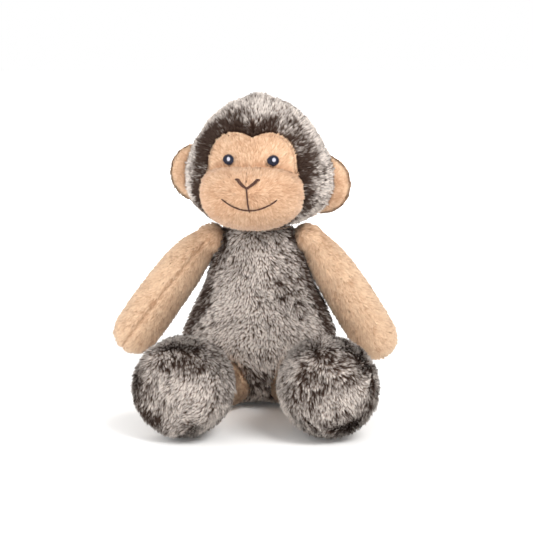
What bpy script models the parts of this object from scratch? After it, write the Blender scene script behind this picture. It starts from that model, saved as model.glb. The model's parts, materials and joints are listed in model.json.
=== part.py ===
"""A sitting stuffed monkey, as sewn plush panels over stuffing, with soft joints at its seams.

Metres, +Z up. The origin is on the floor under the middle of the seat. The toy faces -Y, so its own
left side is at +X. Every soft part is one smooth outer form; its panels are the wall of that form,
cut along the seams, and its stuffing is the form that is left inside the wall. Limbs meet the torso
as a ball in a socket, with the sewing thread as a ring between them.
"""

import math

import bmesh
import bpy
from mathutils import Matrix, Vector

# Cloth and seams
FUR_WALL = 0.0045  # long frosted plush, backing and packed pile together
SHORT_WALL = 0.0032  # short tan plush
EAR_WALL = 0.0024  # the same plush, flatter where two layers lie close
FIT_GAP = 0.0004  # between a panel and what lies against it
SEAM_GAP = 0.0006  # between two panels along a seam
THREAD_RADIUS = 0.0005
SOCKET_STEP = 0.0011  # from a ball to the thread round it, and from the thread to the socket

# Torso: half width, reach to the front and reach to the back at each height
TORSO_STATIONS = (
    (0.000, 0.0440, 0.0180, 0.0360),
    (0.006, 0.0570, 0.0315, 0.0455),
    (0.020, 0.0672, 0.0450, 0.0520),
    (0.042, 0.0708, 0.0520, 0.0535),
    (0.063, 0.0697, 0.0495, 0.0500),
    (0.086, 0.0600, 0.0435, 0.0435),
    (0.105, 0.0500, 0.0380, 0.0375),
    (0.125, 0.0422, 0.0335, 0.0320),
    (0.142, 0.0365, 0.0300, 0.0280),
    (0.156, 0.0320, 0.0260, 0.0240),
    (0.167, 0.0225, 0.0185, 0.0180),
    (0.1725, 0.0090, 0.0075, 0.0075),
)
TORSO_X = -0.001
SIDE_SEAM_Y_TOP, SIDE_SEAM_Y_BASE = -0.004, -0.022
BACK_SEAM_X = -0.006  # a little to the right, so that the middle of the seat is on cloth
NECK_PIVOT = Vector((-0.001, 0.0, 0.138))
NECK_BALL = 0.0375

# Head, measured from the neck pivot
HEAD_YAW = math.radians(-8)
HEAD_CENTRE_Z = 0.0636
HEAD_HALF_WIDTH = 0.0650
HEAD_UP, HEAD_DOWN = 0.0758, 0.0440
HEAD_FRONT, HEAD_BACK = 0.0540, 0.0600
CROWN_POWER, CHIN_POWER = 1.9, 2.3  # 2 is an ellipse, less is narrower and more is fuller
MUZZLE_CENTRE = Vector((0.0, -0.042, 0.0575))
MUZZLE_HALF_WIDTH, MUZZLE_DEPTH = 0.0455, 0.0340
MUZZLE_UP, MUZZLE_DOWN = 0.0275, 0.0310
MUZZLE_POWER_UP, MUZZLE_POWER_DOWN = 2.9, 2.2  # above 2 is squarer than an ellipse
MASK_HALF_WIDTH, MASK_BASE_Z, MASK_RISE = 0.0400, 0.0760, 0.0370
BROW_DIP, BROW_DIP_WIDTH = 0.0050, 0.0080

# Embroidery, measured from the neck pivot
EYE_X, EYE_Z, EYE_HALF = 0.0193, 0.0887, Vector((0.0046, 0.0007, 0.0049))
GLINT_HALF = Vector((0.0020, 0.0003, 0.0024))
NOSE_TIP_Z, NOSE_WING_X, NOSE_WING_Z, NOSE_THICK = 0.0680, 0.0093, 0.0748, 0.0013
MOUTH_HALF_WIDTH, MOUTH_LOW_Z, MOUTH_CORNER_Z, MOUTH_THICK = 0.0230, 0.0490, 0.0575, 0.0007
MOUTH_LEAN = 0.0022  # the mouth line leans a little towards the toy's left as it goes down

# Ears, measured from the neck pivot
EAR_RADIUS, EAR_HALF_DEPTH = 0.0275, 0.0064
EAR_CENTRE_X, EAR_HINGE_X, EAR_Y = 0.0552, 0.0670, 0.0080
EAR_CLEARANCE = 0.0009
EAR_CENTRE_Z = {"left": 0.0600, "right": 0.0680}

# Arms: distance from the shoulder, radius there, and how far the section's middle stands outward
SHOULDER = Vector((0.0450, 0.0, 0.1490))
SHOULDER_BALL = 0.0120
ARM_STATIONS = (
    (0.008, 0.0140, 0.0020),
    (0.020, 0.0169, 0.0031),
    (0.036, 0.0193, 0.0031),
    (0.060, 0.0208, 0.0024),
    (0.092, 0.0212, 0.0010),
)
ARM_HAND = (0.1090, 0.0206)
ARM_BOW = {"left": 0.4, "right": 1.0}  # share of that outward shift
ARM_FLATNESS = 0.92
ARM_HANG = {"left": math.radians(-33), "right": math.radians(38)}
ARM_SEAM_TURN = {"left": math.radians(84), "right": math.radians(12)}

# Legs and feet
HIP = Vector((0.0270, -0.0340, 0.0240))
HIP_BALL = 0.0190
ANKLE = {"left": Vector((0.0500, -0.0860, 0.0320)), "right": Vector((-0.0540, -0.0850, 0.0320))}
ANKLE_BALL = 0.0165
LEG_MIDDLE = 0.0172
FOOT_SPLAY = {"left": math.radians(13), "right": math.radians(-17)}
FOOT_TILT = math.radians(3)
FOOT_CENTRE = Vector((0.0, -0.0290, 0.0110))  # from the ankle, in the foot's own directions
FOOT_STATIONS = (
    (0.0360, 0.0120),
    (0.0345, 0.0240),
    (0.0318, 0.0330),
    (0.0270, 0.0390),
    (0.0180, 0.0420),
    (0.0040, 0.0427),
    (-0.0100, 0.0412),
    (-0.0220, 0.0352),
    (-0.0310, 0.0255),
    (-0.0360, 0.0120),
)
SOLE_PLANE = 0.0300  # in front of the foot's centre

# Bean bag in the seat
BEAN_BAG_CENTRE = Vector((0.0, 0.0200, 0.0190))
BEAN_BAG_HALF = Vector((0.0380, 0.0170, 0.0120))
BEAN_BAG_WALL = 0.0010

# Ranges that the sockets leave room for, in degrees
HIP_LIFT, HIP_SPLAY = (-50, 28), (-10, 20)
ANKLE_FLEX = (-18, 18)
EAR_FOLD = 15
SWEEP_MARGIN = 0.0012

SEGMENTS = 14  # points round a soft part
FAR = 0.4  # larger than the toy, for cutters that take a half space

FUR_COLOUR = (0.33, 0.27, 0.24, 1.0)
TAN_COLOUR = (0.72, 0.47, 0.29, 1.0)
THREAD_COLOUR = (0.09, 0.045, 0.03, 1.0)
NAVY_COLOUR = (0.02, 0.022, 0.04, 1.0)
WHITE_COLOUR = (0.85, 0.85, 0.84, 1.0)
FILL_COLOUR = (0.82, 0.82, 0.80, 1.0)
LINING_COLOUR = (0.70, 0.68, 0.62, 1.0)
ROUGH = 0.95


# Building blocks


def clear_scene():
    for old in list(bpy.data.objects):
        bpy.data.objects.remove(old)


def material(name, colour):
    made = bpy.data.materials.get(name)
    if made is None:
        made = bpy.data.materials.new(name)
        made.use_nodes = True
        shader = made.node_tree.nodes["Principled BSDF"]
        shader.inputs["Base Color"].default_value = colour
        shader.inputs["Roughness"].default_value = ROUGH
        shader.inputs["Metallic"].default_value = 0.0
    return made


def object_from(bm, name):
    """A linked object holding the bmesh, with its faces pointing out."""
    bmesh.ops.recalc_face_normals(bm, faces=bm.faces)
    mesh = bpy.data.meshes.new(name)
    bm.to_mesh(mesh)
    bm.free()
    made = bpy.data.objects.new(name, mesh)
    bpy.context.scene.collection.objects.link(made)
    return made


def ring(centre, across, deep, count=SEGMENTS):
    """Points of a level ellipse. deep may be a pair, for the front half and the back half."""
    front, back = deep if isinstance(deep, (tuple, list)) else (deep, deep)
    points = []
    for step in range(count):
        turn = 2 * math.pi * step / count
        y = math.sin(turn)
        y *= back if y > 0 else front
        points.append(centre + Vector((across * math.cos(turn), y, 0)))
    return points


def skin(name, rings):
    """A closed surface through rings of equally many points, in order, capped at both ends."""
    bm = bmesh.new()
    rows = [[bm.verts.new(point) for point in points] for points in rings]
    for low, high in zip(rows, rows[1:]):
        for i in range(len(low)):
            j = (i + 1) % len(low)
            bm.faces.new((low[i], low[j], high[j], high[i]))
    bm.faces.new(rows[0])
    bm.faces.new(rows[-1])
    bmesh.ops.triangulate(bm, faces=bm.faces[:])
    return object_from(bm, name)


def inset(source, depth, name="inner"):
    """A copy of a form whose surface lies depth further in."""
    bm = bmesh.new()
    bm.from_mesh(source.data)
    bm.normal_update()
    moves = [vertex.normal * -depth for vertex in bm.verts]
    for vertex, move in zip(bm.verts, moves):
        vertex.co += move
    return object_from(bm, name)


def ellipsoid(name, centre, half, segments=SEGMENTS, rings=8):
    bm = bmesh.new()
    bmesh.ops.create_uvsphere(bm, u_segments=segments, v_segments=rings, radius=1)
    bmesh.ops.transform(bm, matrix=Matrix.Diagonal((*half, 1)), verts=bm.verts)
    bmesh.ops.translate(bm, vec=centre, verts=bm.verts)
    return object_from(bm, name)


def ball(name, centre, radius, segments=SEGMENTS):
    return ellipsoid(name, centre, Vector((radius,) * 3), segments, segments // 2)


def socket_for(name, centre, radius, segments=18):
    """A ball whose flat faces all lie at the radius or further out, to cut a socket with."""
    return ball(name, centre, radius / math.cos(math.pi / segments) ** 2, segments)


def block(name, low, high):
    bm = bmesh.new()
    bmesh.ops.create_cube(bm, size=1)
    size = Vector(high) - Vector(low)
    bmesh.ops.transform(bm, matrix=Matrix.Diagonal((*size, 1)), verts=bm.verts)
    bmesh.ops.translate(bm, vec=(Vector(high) + Vector(low)) / 2, verts=bm.verts)
    return object_from(bm, name)


def half_space(name, point, normal):
    """Everything on the side of a plane that its normal points to."""
    made = block(name, (-FAR, -FAR, 0), (FAR, FAR, FAR))
    turn = Vector(normal).to_track_quat("Z", "Y").to_matrix().to_4x4()
    made.data.transform(Matrix.Translation(point) @ turn)
    return made


def prism(name, outline, back, front):
    """A block along Y whose outline is given as (x, z) points."""
    bm = bmesh.new()
    near = [bm.verts.new((x, front, z)) for x, z in outline]
    bm.faces.new(near)
    made = bmesh.ops.extrude_face_region(bm, geom=bm.faces[:])
    moved = [item for item in made["geom"] if isinstance(item, bmesh.types.BMVert)]
    bmesh.ops.translate(bm, vec=(0, back - front, 0), verts=moved)
    return object_from(bm, name)


def hull(name, points):
    bm = bmesh.new()
    for point in points:
        bm.verts.new(point)
    made = bmesh.ops.convex_hull(bm, input=bm.verts[:])
    unused = [v for v in made["geom_interior"] if isinstance(v, bmesh.types.BMVert)]
    bmesh.ops.delete(bm, geom=unused, context="VERTS")
    bmesh.ops.dissolve_limit(bm, angle_limit=math.radians(4), verts=bm.verts[:], edges=bm.edges[:])
    bmesh.ops.triangulate(bm, faces=bm.faces[:])
    return object_from(bm, name)


def thread_ring(name, ball_radius, turn=Matrix.Identity(4), lean=0.0, steps=1):
    """A ring of thread that lies on the sphere one socket step outside a ball centred at the origin.

    lean is the angle by which the ring lies past the ball's equator, towards -Z. steps counts socket steps.
    """
    reach = ball_radius + steps * SOCKET_STEP
    bm = bmesh.new()
    rows = []
    around, section = 18, 4
    for i in range(around):
        turn_round = 2 * math.pi * i / around
        row = []
        for j in range(section):
            bend = 2 * math.pi * j / section
            radius = reach * math.cos(lean) + THREAD_RADIUS * math.cos(bend)
            height = -reach * math.sin(lean) + THREAD_RADIUS * math.sin(bend)
            row.append(bm.verts.new((radius * math.cos(turn_round), radius * math.sin(turn_round), height)))
        rows.append(row)
    for i in range(around):
        here, there = rows[i], rows[(i + 1) % around]
        for j in range(section):
            k = (j + 1) % section
            bm.faces.new((here[j], there[j], there[k], here[k]))
    bmesh.ops.transform(bm, matrix=turn, verts=bm.verts)
    return object_from(bm, name)


def duplicate(source, name):
    made = bpy.data.objects.new(name, source.data.copy())
    bpy.context.scene.collection.objects.link(made)
    return made


def combine(target, operation, *others):
    """Applies a Boolean of each other object to the target, in place."""
    for other in others:
        modifier = target.modifiers.new("combine", "BOOLEAN")
        modifier.operation = operation
        modifier.solver = "EXACT"
        modifier.object = other
        bpy.context.view_layer.update()
        graph = bpy.context.evaluated_depsgraph_get()
        result = bpy.data.meshes.new_from_object(target.evaluated_get(graph))
        target.modifiers.clear()
        target.data = result
    return target


def cut(target, *others):
    return combine(target, "DIFFERENCE", *others)


def keep(target, *others):
    return combine(target, "INTERSECT", *others)


def join(target, *others):
    return combine(target, "UNION", *others)


def discard(*helpers):
    for helper in helpers:
        bpy.data.objects.remove(helper)


def finish(piece, name, colour_name, colour, parent=None):
    """Names a finished piece, gives it its material and hangs it on its joint's empty."""
    piece.name = name
    piece.data.name = name
    piece.data.materials.clear()
    piece.data.materials.append(material(colour_name, colour))
    piece.data.shade_smooth()
    piece.data.set_sharp_from_angle(angle=math.radians(40))
    piece.parent = parent
    return piece


def joint_empty(name, place, rotation=Matrix.Identity(4), parent=None):
    made = bpy.data.objects.new(name, None)
    bpy.context.scene.collection.objects.link(made)
    made.parent = parent
    made.matrix_local = Matrix.Translation(place) @ rotation
    return made


def side_sign(side):
    return 1 if side == "left" else -1


def mirrored(point, side):
    return Vector((point.x * side_sign(side), point.y, point.z))


def blended_stations(stations, count):
    """Stations at even steps along a smooth curve through the given ones."""
    def value(rows, t):
        i = min(int(t), len(rows) - 2)
        f = t - i
        p0, p1 = rows[max(i - 1, 0)], rows[i]
        p2, p3 = rows[i + 1], rows[min(i + 2, len(rows) - 1)]
        return tuple(
            0.5 * (2 * b + (c - a) * f + (2 * a - 5 * b + 4 * c - d) * f**2 + (3 * b - a - 3 * c + d) * f**3)
            for a, b, c, d in zip(p0, p1, p2, p3)
        )
    last = len(stations) - 1
    return [value(stations, last * i / (count - 1)) for i in range(count)]


# Forms: the outer surface of each soft part


def torso_form():
    rows = blended_stations(TORSO_STATIONS, 12)
    return skin("torso_form", [ring(Vector((TORSO_X, 0, z)), wide, deep) for z, wide, *deep in rows])


def head_share(z):
    """The head's half width at a height above the neck pivot, as a share of its widest."""
    rise = z - HEAD_CENTRE_Z
    if rise > 0:
        return math.sqrt(max(0.0, 1 - (rise / HEAD_UP) ** CROWN_POWER))
    return math.sqrt(max(0.0, 1 - abs(rise / HEAD_DOWN) ** CHIN_POWER))


def head_form():
    rings = []
    count = 10
    for i in range(count):
        turn = math.pi * (i + 0.35) / (count - 0.3)
        reach = HEAD_UP if turn < math.pi / 2 else HEAD_DOWN
        z = HEAD_CENTRE_Z + reach * math.cos(turn)
        share = head_share(z)
        depth = (HEAD_FRONT * share, HEAD_BACK * share)
        rings.append(ring(Vector((0, 0, z)), HEAD_HALF_WIDTH * share, depth, 20))
    return skin("head_form", rings)


def head_front_y(x, z):
    """Where the front of the head form is at a place on the face."""
    share = head_share(z)
    return -HEAD_FRONT * share * math.sqrt(max(0.0, 1 - (x / (HEAD_HALF_WIDTH * share)) ** 2))


def muzzle_form(name, grow=0.0):
    """The muzzle, as level outlines stacked from front to back. grow moves its surface out."""
    rings = []
    count = 10
    for i in range(count):
        turn = math.pi * (i + 0.5) / count
        share = math.sin(turn)
        points = []
        for step in range(18):
            angle = 2 * math.pi * step / 18
            high = math.sin(angle) > 0
            power = 2 / (MUZZLE_POWER_UP if high else MUZZLE_POWER_DOWN)
            x = math.copysign(abs(math.cos(angle)) ** power, math.cos(angle))
            z = math.copysign(abs(math.sin(angle)) ** power, math.sin(angle))
            reach = (MUZZLE_UP if high else MUZZLE_DOWN) + grow
            y = -(MUZZLE_DEPTH + grow) * math.cos(turn)
            offset = Vector((x * share * (MUZZLE_HALF_WIDTH + grow), y, z * share * reach))
            points.append(MUZZLE_CENTRE + offset)
        rings.append(points)
    return skin(name, rings)


def muzzle_front_y(x, z):
    rise = z - MUZZLE_CENTRE.z
    power = MUZZLE_POWER_UP if rise > 0 else MUZZLE_POWER_DOWN
    reach = MUZZLE_UP if rise > 0 else MUZZLE_DOWN
    share = (abs(x / MUZZLE_HALF_WIDTH) ** power + abs(rise / reach) ** power) ** (2 / power)
    return MUZZLE_CENTRE.y - MUZZLE_DEPTH * math.sqrt(max(0.0, 1 - share))


def mask_outline(grow=0.0):
    """The upper face's edge: two brow lobes with a dip between them, closed below the muzzle's top."""
    points = []
    count = 14
    for i in range(count + 1):
        x = MASK_HALF_WIDTH * math.cos(math.pi * i / count)
        share = abs(x / MASK_HALF_WIDTH)
        rise = MASK_RISE * (1 - share**3.2) ** (1 / 2.4)
        dip = BROW_DIP * math.exp(-((x / BROW_DIP_WIDTH) ** 2))
        points.append((x * (1 + grow / MASK_HALF_WIDTH), MASK_BASE_Z + rise - dip + grow))
    low = MUZZLE_CENTRE.z
    return points + [(-MASK_HALF_WIDTH - grow, low), (MASK_HALF_WIDTH + grow, low)]


def limb_form(name, stations, end_centre, end_radius, root_radius, flatness=1.0, outward=1):
    """A tube down -Z from a ball at the origin to a round end. outward scales its bow along X."""
    rings = []
    for angle in (70, 38, 8):
        bend = math.radians(angle)
        radius = root_radius * math.cos(bend)
        rings.append(ring(Vector((0, 0, root_radius * math.sin(bend))), radius, radius * flatness))
    for distance, radius, bow in stations:
        rings.append(ring(Vector((bow * outward, 0, -distance)), radius, radius * flatness))
    for angle in (8, 38, 68):
        bend = math.radians(angle)
        radius = end_radius * math.cos(bend)
        depth = -end_centre - end_radius * math.sin(bend)
        rings.append(ring(Vector((0, 0, depth)), radius, radius * flatness))
    return skin(name, rings)


def arm_form(side):
    outward = side_sign(side) * ARM_BOW[side]
    return limb_form("arm_form", ARM_STATIONS, *ARM_HAND, SHOULDER_BALL, ARM_FLATNESS, outward)


def leg_form(side):
    length = (ANKLE[side] - mirrored(HIP, side)).length
    stations = ((length * 0.35, LEG_MIDDLE * 1.03, 0), (length * 0.7, LEG_MIDDLE, 0))
    return limb_form("leg_form", stations, length, ANKLE_BALL, HIP_BALL)


def foot_form():
    """The foot's round form, its axis along -Y through the foot's centre."""
    rows = blended_stations(FOOT_STATIONS, 10)
    rings = [ring(Vector((0, 0, forward)), radius, radius, 16) for forward, radius in rows]
    made = skin("foot_form", rings)
    made.data.transform(Matrix.Translation(FOOT_CENTRE) @ Matrix.Rotation(math.pi / 2, 4, "X"))
    return made


# Joint frames and the room that a moving limb needs


def leg_turn(side):
    """Turns the leg form's -Z towards the ankle."""
    along = ANKLE[side] - mirrored(HIP, side)
    return (-along).to_track_quat("Z", "Y").to_matrix().to_4x4()


def foot_turn(side):
    return Matrix.Rotation(FOOT_SPLAY[side], 4, "Z") @ Matrix.Rotation(-FOOT_TILT, 4, "X")


def arm_turn(side):
    return Matrix.Rotation(ARM_HANG[side], 4, "Y")


def rotations(first_axis, first, second_axis, second):
    """Turns about two axes through one point, at each limit of both and at rest."""
    turns = []
    for a in (*first, 0):
        for b in (*second, 0):
            turn = Matrix.Rotation(math.radians(a), 4, first_axis)
            turns.append(turn @ Matrix.Rotation(math.radians(b), 4, second_axis))
    return turns


def sweep(name, radius, reach, rest, turns, pivot):
    """The room a tube of this radius needs as it turns about a pivot, as one convex cutter."""
    points = []
    for turn in turns:
        for distance in (0.0, reach):
            for point in ring(Vector((0, 0, -distance)), radius, radius, 12):
                points.append(pivot + (turn @ rest @ point.to_4d()).to_3d())
    return hull(name, points)


def limb_sweeps():
    """Cutters that make the torso's sockets, and keep it clear of both legs."""
    cutters = []
    for side in ("left", "right"):
        sign = side_sign(side)
        splay_range = tuple(sign * angle for angle in HIP_SPLAY)
        turns = rotations("X", tuple(-angle for angle in HIP_LIFT), "Z", splay_range)
        radius = LEG_MIDDLE * 1.06 + SWEEP_MARGIN
        room = sweep("leg_room", radius, 0.055, leg_turn(side), turns, mirrored(HIP, side))
        cutters.append(socket_for("arm_socket", mirrored(SHOULDER, side), SHOULDER_BALL + 2 * SOCKET_STEP))
        socket = socket_for("leg_socket", mirrored(HIP, side), HIP_BALL + 2 * SOCKET_STEP)
        cutters.append(join(socket, room))
        discard(room)
    return cutters


# Parts


def make_torso():
    form = torso_form()
    inner = inset(form, FUR_WALL)
    fill = inset(form, FUR_WALL + FIT_GAP)
    wall = cut(form, inner)
    sockets = limb_sweeps()
    seam_run = Vector((0, SIDE_SEAM_Y_TOP - SIDE_SEAM_Y_BASE, TORSO_STATIONS[-1][0]))
    forward = Vector((0, -seam_run.z, seam_run.y))
    seam_point = Vector((0, SIDE_SEAM_Y_BASE, 0))
    step = forward.normalized() * SEAM_GAP / 2
    ahead = half_space("ahead", seam_point + step, forward)
    behind = half_space("behind", seam_point - step, -forward)

    front = cut(keep(duplicate(wall, "front"), ahead), *sockets)
    finish(front, "torso_front_panel", "frosted_plush", FUR_COLOUR)
    for side in ("left", "right"):
        sign = side_sign(side)
        half = half_space("half", Vector((BACK_SEAM_X + sign * SEAM_GAP / 2, 0, 0)), (sign, 0, 0))
        back = cut(keep(duplicate(wall, "back"), behind, half), *sockets)
        finish(back, f"torso_back_{side}_panel", "frosted_plush", FUR_COLOUR)
        discard(half)

    bag_room = ellipsoid("bag_room", BEAN_BAG_CENTRE, BEAN_BAG_HALF + Vector((FIT_GAP,) * 3), 16, 8)
    slot_low = BEAN_BAG_CENTRE - Vector((0.004, 0.004, FAR))
    bag_slot = block("bag_slot", slot_low, BEAN_BAG_CENTRE + Vector((0.004, 0.004, 0)))
    stuffing = cut(fill, *sockets, bag_room, bag_slot)
    finish(stuffing, "torso_stuffing", "stuffing", FILL_COLOUR)
    discard(wall, inner, ahead, behind, bag_room, bag_slot, *sockets)


def make_bean_bag():
    bag = ellipsoid("bag", BEAN_BAG_CENTRE, BEAN_BAG_HALF, 16, 8)
    wall = Vector((BEAN_BAG_WALL,) * 3)
    inner = ellipsoid("bag_inner", BEAN_BAG_CENTRE, BEAN_BAG_HALF - wall, 16, 8)
    mouth_low = BEAN_BAG_CENTRE + Vector((BEAN_BAG_HALF.x * 0.6, -0.006, -0.0015))
    mouth = block("mouth", mouth_low, mouth_low + Vector((0.03, 0.012, 0.003)))
    finish(cut(bag, inner, mouth), "seat_bean_bag", "lining", LINING_COLOUR)
    gap = Vector((FIT_GAP,) * 3)
    beans = ellipsoid("beans", BEAN_BAG_CENTRE, BEAN_BAG_HALF - wall - gap, 16, 8)
    finish(beans, "seat_beans", "stuffing", FILL_COLOUR)
    discard(inner, mouth)


def make_neck_threads():
    """The gathering thread that closes the head's opening, and the thread that sews head to torso."""
    stitching = thread_ring("neck", NECK_BALL, lean=math.radians(-38))
    finish(stitching, "neck_stitching", "brown_thread", THREAD_COLOUR, joint_empty("neck_turn", NECK_PIVOT))
    drawstring = thread_ring("drawstring", NECK_BALL, lean=math.radians(-50), steps=2.5)
    finish(drawstring, "neck_drawstring", "brown_thread", THREAD_COLOUR, joint_empty("neck_nod", NECK_PIVOT))


def make_head(pose):
    form = head_form()
    inner = inset(form, FUR_WALL)
    fill = inset(form, FUR_WALL + FIT_GAP)
    wall = cut(duplicate(form, "wall"), inner)
    muzzle = muzzle_form("muzzle")
    muzzle_room = muzzle_form("muzzle_room", FIT_GAP)
    muzzle_inner = muzzle_form("muzzle_inner", -SHORT_WALL)
    muzzle_fill = muzzle_form("muzzle_fill", -SHORT_WALL - FIT_GAP)
    socket = socket_for("socket", Vector(), NECK_BALL + 3.5 * SOCKET_STEP)
    mask = prism("mask", mask_outline(), -0.02, -0.1)
    mask_room = prism("mask_room", mask_outline(SEAM_GAP), -0.02, -0.1)

    face = cut(keep(duplicate(wall, "face"), mask), muzzle_room)
    finish(face, "face_panel", "tan_plush", TAN_COLOUR, pose)
    for side in ("left", "right"):
        sign = side_sign(side)
        half = half_space("half", Vector((sign * SEAM_GAP / 2, 0, 0)), (sign, 0, 0))
        cap = cut(keep(duplicate(wall, "cap"), half), muzzle_room, mask_room, socket)
        finish(cap, f"head_{side}_panel", "frosted_plush", FUR_COLOUR, pose)
        discard(half)
    head_room = inset(form, -FIT_GAP)
    cup = cut(muzzle, muzzle_inner, head_room, socket)
    finish(cup, "muzzle_panel", "tan_plush", TAN_COLOUR, pose)
    stuffing = cut(join(fill, muzzle_fill), socket)
    finish(stuffing, "head_stuffing", "stuffing", FILL_COLOUR, pose)
    discard(form, inner, wall, muzzle_room, muzzle_inner, muzzle_fill, socket, mask, mask_room, head_room)


def satin_line(name, points, radius):
    """A line of thread through points, as a rounded bar."""
    curve = bpy.data.curves.new(name, "CURVE")
    curve.dimensions = "3D"
    curve.bevel_depth = radius
    curve.bevel_resolution = 1
    curve.use_fill_caps = True
    line = curve.splines.new("POLY")
    line.points.add(len(points) - 1)
    for slot, point in zip(line.points, points):
        slot.co = (*point, 1)
    source = bpy.data.objects.new(name, curve)
    bpy.context.scene.collection.objects.link(source)
    bpy.context.view_layer.update()
    graph = bpy.context.evaluated_depsgraph_get()
    mesh = bpy.data.meshes.new_from_object(source.evaluated_get(graph))
    discard(source)
    bm = bmesh.new()
    bm.from_mesh(mesh)
    bmesh.ops.remove_doubles(bm, verts=bm.verts[:], dist=1e-6)
    return object_from(bm, name)


def on_muzzle(x, z, lift):
    """A point that stands lift off the muzzle's surface."""
    y = muzzle_front_y(x, z)
    step = 0.0005
    slope_x = (muzzle_front_y(x + step, z) - muzzle_front_y(x - step, z)) / (2 * step)
    slope_z = (muzzle_front_y(x, z + step) - muzzle_front_y(x, z - step)) / (2 * step)
    normal = Vector((slope_x, -1, slope_z)).normalized()
    return Vector((x, y, z)) + normal * lift


def make_embroidery(pose):
    for side in ("left", "right"):
        x = EYE_X * side_sign(side)
        y = head_front_y(x, EYE_Z)
        outward = Vector((x / HEAD_HALF_WIDTH**2, y / HEAD_FRONT**2, 0.3 * (EYE_Z - HEAD_CENTRE_Z) / HEAD_UP**2))
        outward.normalize()
        turn = (-outward).to_track_quat("Y", "Z").to_matrix().to_4x4()
        lift = 0.0016
        eye = ellipsoid("eye", Vector(), EYE_HALF, 14, 7)
        eye.data.transform(Matrix.Translation(Vector((x, y, EYE_Z)) + outward * lift) @ turn)
        finish(eye, f"{side}_eye", "navy_thread", NAVY_COLOUR, pose)
        glint = ellipsoid("glint", Vector((0.0006, 0, 0.0006)), GLINT_HALF, 8, 5)
        place = Vector((x, y, EYE_Z)) + outward * (lift + EYE_HALF.y + GLINT_HALF.y + 0.0003)
        glint.data.transform(Matrix.Translation(place) @ turn)
        finish(glint, f"{side}_eye_glint", "white_thread", WHITE_COLOUR, pose)

    lift = NOSE_THICK + FIT_GAP
    wings = []
    for step in range(-5, 6):
        share = abs(step) / 5
        x = NOSE_WING_X * step / 5
        z = NOSE_TIP_Z + (NOSE_WING_Z - NOSE_TIP_Z) * share
        wings.append(on_muzzle(x, z, lift))
    finish(satin_line("nose", wings, NOSE_THICK), "nose_stitching", "brown_thread", THREAD_COLOUR, pose)

    lift = MOUTH_THICK + FIT_GAP
    smile = []
    for step in range(-9, 10):
        share = step / 9
        x = MOUTH_HALF_WIDTH * share + MOUTH_LEAN
        z = MOUTH_LOW_Z + (MOUTH_CORNER_Z - MOUTH_LOW_Z) * share**2
        smile.append(on_muzzle(x, z, lift))
    drop = []
    for step in range(7):
        share = step / 6
        top = NOSE_TIP_Z - 2 * NOSE_THICK - 0.0006
        drop.append(on_muzzle(MOUTH_LEAN * (0.25 + 0.75 * share), top + (MOUTH_LOW_Z - top) * share, lift))
    mouth = satin_line("mouth", smile, MOUTH_THICK)
    upright = satin_line("upright", drop, MOUTH_THICK * 0.93)
    finish(join(mouth, upright), "mouth_stitching", "brown_thread", THREAD_COLOUR, pose)
    discard(upright)


def make_ear(side, head_pose):
    sign = side_sign(side)
    hinge = Vector((EAR_HINGE_X * sign, EAR_Y, EAR_CENTRE_Z[side]))
    centre = Vector(((EAR_CENTRE_X - EAR_HINGE_X) * sign, 0, 0))
    head = head_form()
    head.data.transform(Matrix.Translation(-hinge))

    def lens(depth):
        half = Vector((EAR_RADIUS, EAR_HALF_DEPTH, EAR_RADIUS)) - Vector((depth,) * 3)
        made = ellipsoid("lens", centre, half, 18, 8)
        for angle in (-EAR_FOLD, 0, EAR_FOLD):
            room = inset(head, -EAR_CLEARANCE - depth)
            room.data.transform(Matrix.Rotation(math.radians(angle), 4, "Z"))
            cut(made, room)
            discard(room)
        return made

    wall = lens(0)
    inner = lens(EAR_WALL)
    cut(wall, inner)
    pose = joint_empty(f"{side}_ear_fold", hinge, parent=head_pose)
    for face, facing in (("front", -1), ("back", 1)):
        half = half_space("half", Vector((0, facing * SEAM_GAP / 2, 0)), (0, facing, 0))
        panel = keep(duplicate(wall, "panel"), half)
        finish(panel, f"{side}_ear_{face}_panel", "tan_plush", TAN_COLOUR, pose)
        discard(half)
    finish(lens(EAR_WALL + FIT_GAP), f"{side}_ear_wadding", "stuffing", FILL_COLOUR, pose)
    discard(wall, inner, head)


def make_arm(side):
    form = arm_form(side)
    inner = inset(form, SHORT_WALL)
    fill = inset(form, SHORT_WALL + FIT_GAP)
    wall = cut(form, inner)
    pose = joint_empty(f"{side}_arm_swing", mirrored(SHOULDER, side), arm_turn(side))
    seam = Matrix.Rotation(ARM_SEAM_TURN[side] * side_sign(side), 4, "Z") @ Vector((1, 0, 0))
    for name, facing in (("outer", side_sign(side)), ("inner", -side_sign(side))):
        half = half_space("half", seam * facing * SEAM_GAP / 2, seam * facing)
        panel = keep(duplicate(wall, "panel"), half)
        finish(panel, f"{side}_arm_{name}_panel", "tan_plush", TAN_COLOUR, pose)
        discard(half)
    finish(fill, f"{side}_arm_stuffing", "stuffing", FILL_COLOUR, pose)
    discard(wall, inner)
    to_torso = Matrix.Rotation(-side_sign(side) * math.pi / 2, 4, "Y")
    stitching = thread_ring("shoulder", SHOULDER_BALL, to_torso, math.radians(-48))
    raised = joint_empty(f"{side}_arm_raise", mirrored(SHOULDER, side))
    finish(stitching, f"{side}_shoulder_stitching", "tan_thread", TAN_COLOUR, raised)


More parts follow.
